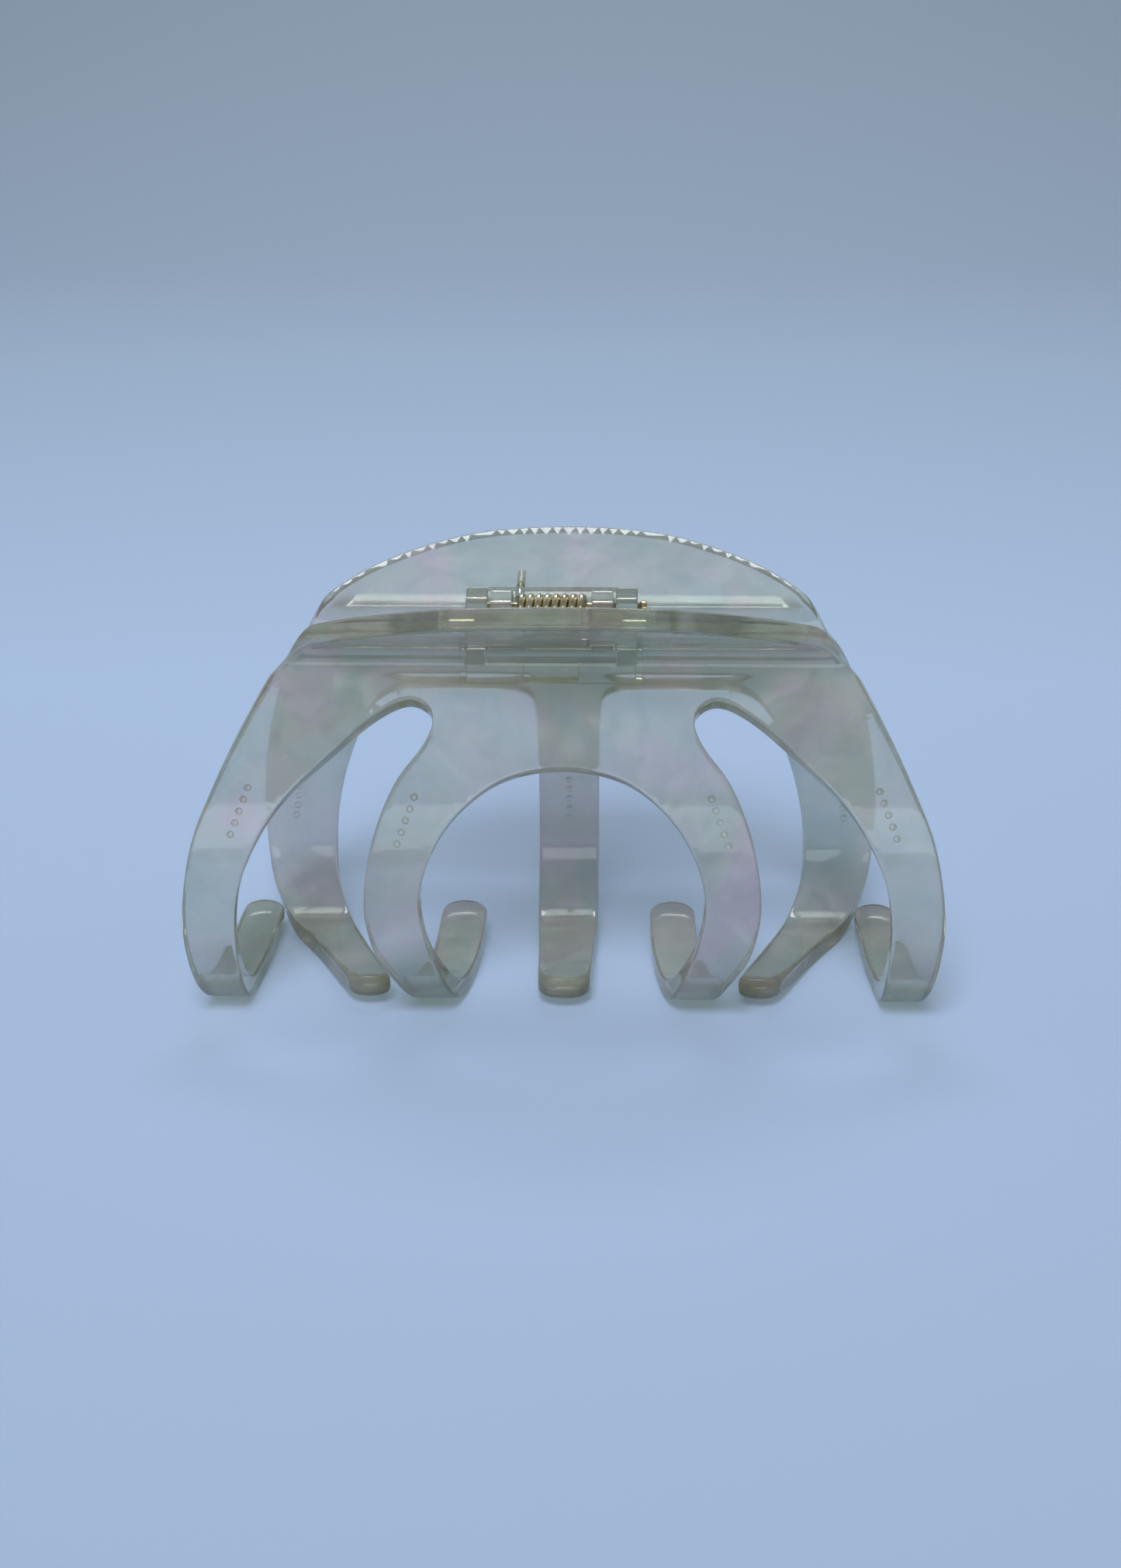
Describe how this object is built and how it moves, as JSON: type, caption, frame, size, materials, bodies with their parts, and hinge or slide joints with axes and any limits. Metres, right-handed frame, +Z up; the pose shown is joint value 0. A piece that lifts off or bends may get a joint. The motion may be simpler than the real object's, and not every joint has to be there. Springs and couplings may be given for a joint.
{
  "type": "claw hair clip",
  "caption": "Sprung claw hair clip of clear pearly plastic: two curved jaws with interleaving prongs, hinged on a metal pin with a coiled torsion spring.",
  "frame": {"origin": "on the table under the middle of the closed clip", "axes": "+X along the hinge pin to the right of someone facing the front jaw, +Y from the front jaw to the rear jaw, +Z up from the prongs to the hinge"},
  "size_m": [0.0896, 0.04, 0.0524],
  "materials": {
    "jaw_plastic": "clear moulded plastic with a faint pearl, polished, olive where seen through its edges",
    "pin_metal": "bright drawn wire",
    "spring_metal": "bright gold-plated spring wire"
  },
  "bodies": {
    "front": {"front_jaw": "jaw_plastic", "hinge_pin": "pin_metal", "torsion_spring": "spring_metal"},
    "rear": {"rear_jaw": "jaw_plastic"}
  },
  "joints": [
    {"name": "jaw_hinge", "type": "hinge", "parent": "front", "child": "rear", "pos_m": [-0.0016, 0, 0.047], "axis": [1, 0, 0], "range_deg": [0, 45], "stiffness_Nm_per_rad": 0.12, "springref_deg": -34.38, "deforming": ["torsion_spring"]}
  ]
}
